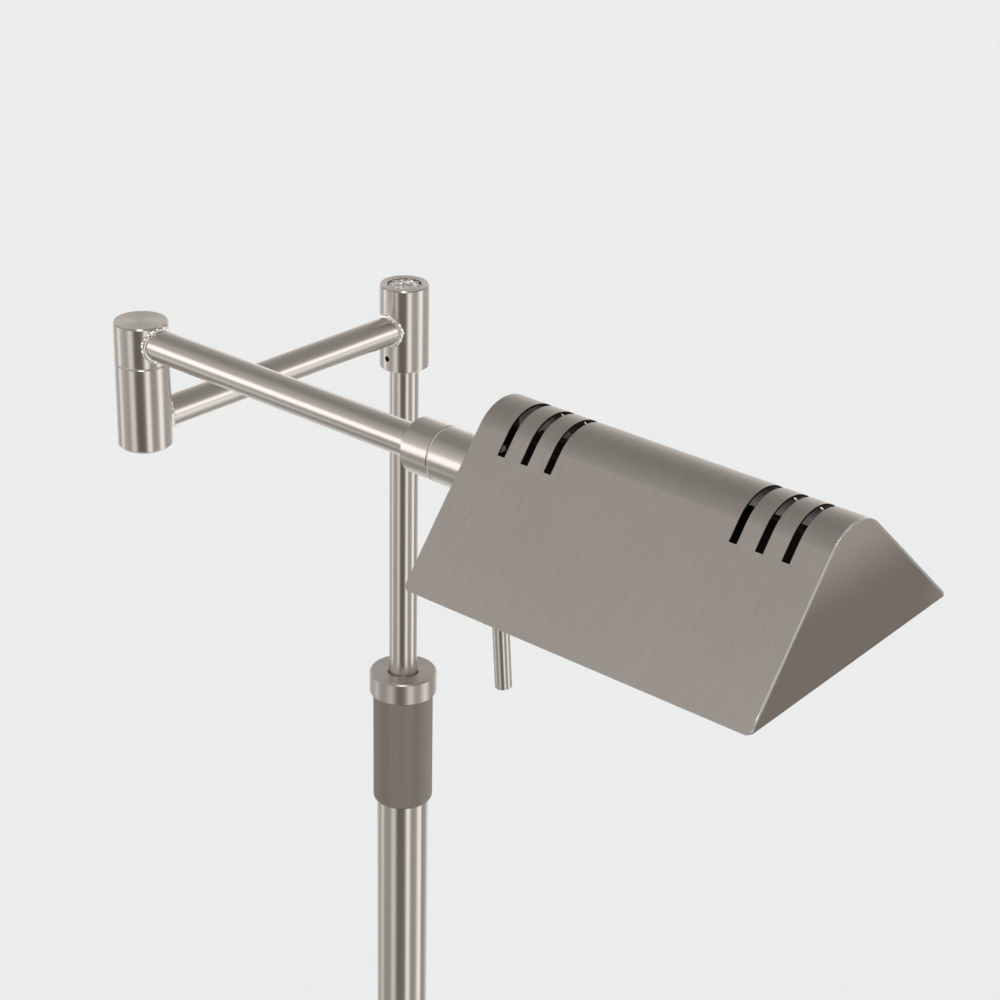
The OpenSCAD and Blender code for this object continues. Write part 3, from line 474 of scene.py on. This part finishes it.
SLOT_FINISH = {
    "brushed_nickel": brushed("nickel_mast", NICKEL, 0.27, (LONG, LONG, HAIR), "Z", 0.85, bump=0),
    "foot_nickel": brushed("nickel_foot", NICKEL, 0.30, (60, 60, HAIR), "Z", 0.5, bump=0.05,
                           blotch=0.03, vary=0.025),
    "knurled_nickel": brushed("nickel_knurled", SLEEVE_NICKEL, 0.55, (HAIR, HAIR, LONG), "Z", 0.2,
                              LENGTHWISE),
    "shade_nickel": shade_metal(),
    "cap_nickel": cap_metal(),
    "chrome": plain("chrome", (0.92, 0.91, 0.90), 0.17, 1.0, 300.0, 0.02),
    "cast_iron": plain("cast_iron", (0.10, 0.10, 0.105), 0.75, 0.0, 900.0, 0.6, 0.0006),
    "rubber": plain("rubber", (0.025, 0.025, 0.026), 0.85, 0.0, 1800.0, 0.3),
    "zinc_steel": plain("zinc_steel", (0.62, 0.63, 0.66), 0.32, 1.0, 1200.0, 0.15),
    "black_steel": plain("black_steel", (0.022, 0.019, 0.016), 0.5, 0.0, 1500.0, 0.2, specular=0.2),
    "brass": plain("brass", (0.74, 0.56, 0.27), 0.30, 1.0, 900.0, 0.12),
    "nylon": plain("nylon", (0.80, 0.77, 0.70), 0.45, 0.0, 2200.0, 0.1),
    "black_plastic": plain("black_plastic", (0.02, 0.02, 0.021), 0.42, 0.0, 2500.0, 0.15),
    "lead_sheath": plain("lead_sheath", (0.03, 0.03, 0.032), 0.55, 0.0, 700.0, 0.1),
    "wire_sleeve": plain("wire_sleeve", (0.03, 0.027, 0.022), 0.8, 0.0, 2600.0, 0.5, specular=0.1),
    "reflector_aluminium": reflector_metal(),
    "ceramic": plain("ceramic", (0.83, 0.80, 0.73), 0.35, 0.0, 1600.0, 0.2),
    "contact_copper": plain("contact_copper", (0.72, 0.40, 0.26), 0.3, 1.0, 900.0, 0.1),
    "lamp_quartz": quartz(),
    "tungsten": plain("tungsten", (0.30, 0.30, 0.32), 0.4, 1.0, 1800.0, 0.1),
}

NODE_FINISH = {
    "inner_arm_tube": arm_y_finish,
    "outer_arm_tube": arm_x_finish,
    "collar_fixed": arm_x_finish,
    "collar_turning": arm_x_finish,
    "clamp_ring": ring_finish,
}


def dress_nodes():
    """Gives every CAD node its finish: its own if it has one, else its slot's."""
    for name, obj in nodes.items():
        place = obj.material_slots[0]
        place.material = NODE_FINISH.get(name) or SLOT_FINISH[place.material.name]


dress_nodes()


# ---- Fine pieces ----

def circle(middle, radius, first, second, count):
    """Points of a circle round middle, in the plane of two unit vectors."""
    turns = [math.tau * k / count for k in range(count)]
    return [middle + radius * (math.cos(a) * first + math.sin(a) * second) for a in turns]


def joined(rings, closed=True):
    """Points and quads for rings of equal length, each joined to the next, and the last to the
    first if closed."""
    count = len(rings[0])
    points = [p for ring in rings for p in ring]
    faces = []
    for i in range(len(rings) if closed else len(rings) - 1):
        j = (i + 1) % len(rings)
        for k in range(count):
            n = (k + 1) % count
            faces.append((i * count + k, i * count + n, j * count + n, j * count + k))
    return points, faces


def capped(rings):
    """Points and faces for rings joined in a row, with a face over the first and the last."""
    points, faces = joined(rings, closed=False)
    count = len(rings[0])
    faces.append(tuple(range(count)))
    faces.append(tuple(range(len(points) - count, len(points))))
    return points, faces


def add_mesh(name, shape, body, slot, material=None, smooth=True):
    """A new piece on a body, from its points and faces, with its slot's finish or its own."""
    points, faces = shape
    mesh = bpy.data.meshes.new(name)
    mesh.from_pydata(points, [], faces)
    build = bmesh.new()
    build.from_mesh(mesh)
    bmesh.ops.recalc_face_normals(build, faces=build.faces)
    build.to_mesh(mesh)
    build.free()
    mesh.polygons.foreach_set("use_smooth", [smooth] * len(mesh.polygons))
    mesh.materials.append(material or SLOT_FINISH[slot])
    piece = bpy.data.objects.new(name, mesh)
    scene.collection.objects.link(piece)
    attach(piece, body)
    return piece


def weld(name, centre, along, height, body):
    """Rippled bead where an arm tube meets an upright cylinder."""
    bead = 0.0015
    steps, sides = 180, 16
    across = Z_AXIS.cross(along)
    base = Vector((centre.x, centre.y, height))
    rings = []
    for i in range(steps):
        t = math.tau * i / steps
        out = math.cos(t) * across + math.sin(t) * Z_AXIS
        radius = bead * (1 + 0.13 * math.sin(9 * t + 1) + 0.07 * math.sin(23 * t))
        reach = math.sqrt(KNUCKLE_R ** 2 - (ARM_R * math.cos(t)) ** 2)
        rings.append(circle(base + ARM_R * out + reach * along, radius, out, along, sides))
    add_mesh(name, joined(rings), body, "brushed_nickel", weld_finish)


weld("weld_outer", ELBOW, X_AXIS, OUTER_Z, "outer_arm")
weld("weld_inner_elbow", ELBOW, Y_AXIS, INNER_Z, "inner_arm")
weld("weld_inner_knuckle", Vector((0, 0, 0)), -Y_AXIS, INNER_Z, "inner_arm")


def knurled_sleeve():
    """The clamp's grip: fine straight ridges between two plain edges."""
    ridges = 140
    depth = 0.00022
    # Share of the depth at the points of one ridge
    cuts = (0, 0.45, 1, 0.45)
    bottom, top = low("clamp_sleeve").z, high("clamp_sleeve").z
    outer = high("clamp_sleeve").x
    bore = MAST_R + 0.00005
    # Height, radius, and 1 where the ridges are cut
    outline = [(bottom, outer - 0.001, 0), (bottom + 0.001, outer - depth, 0),
               (bottom + 0.0016, outer, 1), (top - 0.0012, outer, 1),
               (top - 0.0006, outer - depth, 0), (top, outer - depth - 0.0002, 0),
               (top, bore, 0), (bottom, bore, 0)]
    rings = []
    for z, radius, ridged in outline:
        ring = []
        for k in range(ridges * len(cuts)):
            r = radius - ridged * depth * cuts[k % len(cuts)]
            a = math.tau * k / (ridges * len(cuts))
            ring.append((r * math.cos(a), r * math.sin(a), z))
        rings.append(ring)
    sleeve = add_mesh("knurled_sleeve", joined(rings), "clamp_grip", "knurled_nickel", smooth=False)
    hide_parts("clamp_sleeve")


knurled_sleeve()


def crown_knob():
    """The dimmer's polished knob: a dish with a rim of ten rounded beads."""
    beads = 10
    steps = 160
    stem_r = 0.0030
    crest_r, crest_h, bead = 0.0074, 0.0033, 0.0015
    foot = low("dimmer_knob").z
    seat = high("dimmer_knob").z - 0.0042
    # Radius and height above the seat, then how far a bead swells them
    profile = [(stem_r, foot - seat, 0, 0), (stem_r, 0, 0, 0), (0.0080, 0, 0, 0), (0.0088, 0.0006, 0, 0)]
    for k in range(12):
        turn = math.radians(-30 + 20 * k)
        profile.append((crest_r, crest_h, bead * math.cos(turn), bead * math.sin(turn)))
    profile += [(0.0052, 0.0024, 0, 0), (0.0032, 0.0021, 0, 0), (0.0014, 0.0020, 0, 0)]
    rings = []
    for radius, height, out, up in profile:
        ring = []
        for k in range(steps):
            a = math.tau * k / steps
            swell = 0.45 + 0.55 * abs(math.cos(beads * a / 2))
            r = radius + out * swell
            ring.append((r * math.cos(a), r * math.sin(a), seat + height + up * swell))
        rings.append(ring)
    knob = add_mesh("crown_knob", capped(rings), "dimmer", "chrome")
    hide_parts("dimmer_knob")


crown_knob()


def shell_profile(corner):
    """The shell's outer profile before its roll: distance across and height from the arm's axis, and
    the turn of its outward side from upright. It stops a corner short of each lower edge."""
    half = math.radians(42.5)
    apex, ridge, side = 0.0486, 0.0208, 0.0997
    side_steps, ridge_steps = 12, 32
    lean = math.pi / 2 - half
    flat = ridge / math.tan(half)
    slope = []
    for i in range(side_steps + 1):
        d = side - corner - (side - corner - flat) * i / side_steps
        slope.append((-d * math.sin(half), apex - d * math.cos(half), -lean))
    crown = []
    for i in range(1, ridge_steps):
        t = lean * (2 * i / ridge_steps - 1)
        crown.append((ridge * math.sin(t), apex - ridge / math.sin(half) + ridge * math.cos(t), t))
    return slope + crown + [(-across, up, -t) for across, up, t in reversed(slope)]


def burnished_edge():
    """Bright rounded edge of the folded sheet along the shade's far end."""
    roll = math.radians(4.9)
    width = 0.0003
    # The edge is sunk a little into the sheet, and more round the very top
    sunk, sunk_more, top_reach = 0.0001, 0.0002, 0.18
    x = high("shade_shell").x - width
    rings = []
    for across, up, t in shell_profile(0.0045):
        turn = t - roll
        out = Vector((0, math.sin(turn), math.cos(turn)))
        middle = Vector((x, ELBOW.y + across * math.cos(roll) - up * math.sin(roll),
                         OUTER_Z + across * math.sin(roll) + up * math.cos(roll)))
        near_top = max(0, 1 - (turn / top_reach) ** 2)
        middle -= (sunk + sunk_more * near_top) * out
        rings.append(circle(middle, width, out, X_AXIS, 10))
    add_mesh("burnished_edge", capped(rings), "shade", "shade_nickel", weld_finish)


burnished_edge()


def coiled_filament():
    """The lamp's tungsten coil, with a straight tail at each end."""
    turns = 44
    steps = 12
    wire = 0.00012
    coil = 0.00055
    tail = 0.008
    bottom, top = low("lamp_filament"), high("lamp_filament")
    middle = (bottom + top) / 2
    length = top.x - bottom.x
    path = [Vector((bottom.x, middle.y, middle.z))]
    for i in range(turns * steps + 1):
        a = math.tau * i / steps
        x = bottom.x + tail + (length - 2 * tail) * i / (turns * steps)
        path.append(Vector((x, middle.y + coil * math.cos(a), middle.z + coil * math.sin(a))))
    path.append(Vector((top.x, middle.y, middle.z)))
    rings = []
    for i, p in enumerate(path):
        ahead = (path[min(i + 1, len(path) - 1)] - path[max(i - 1, 0)]).normalized()
        side = ahead.cross(Vector((1, 2, 3))).normalized()
        rings.append(circle(p, wire, side, side.cross(ahead), 6))
    filament = add_mesh("coiled_filament", capped(rings), "shade", "tungsten")
    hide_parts("lamp_filament")


coiled_filament()
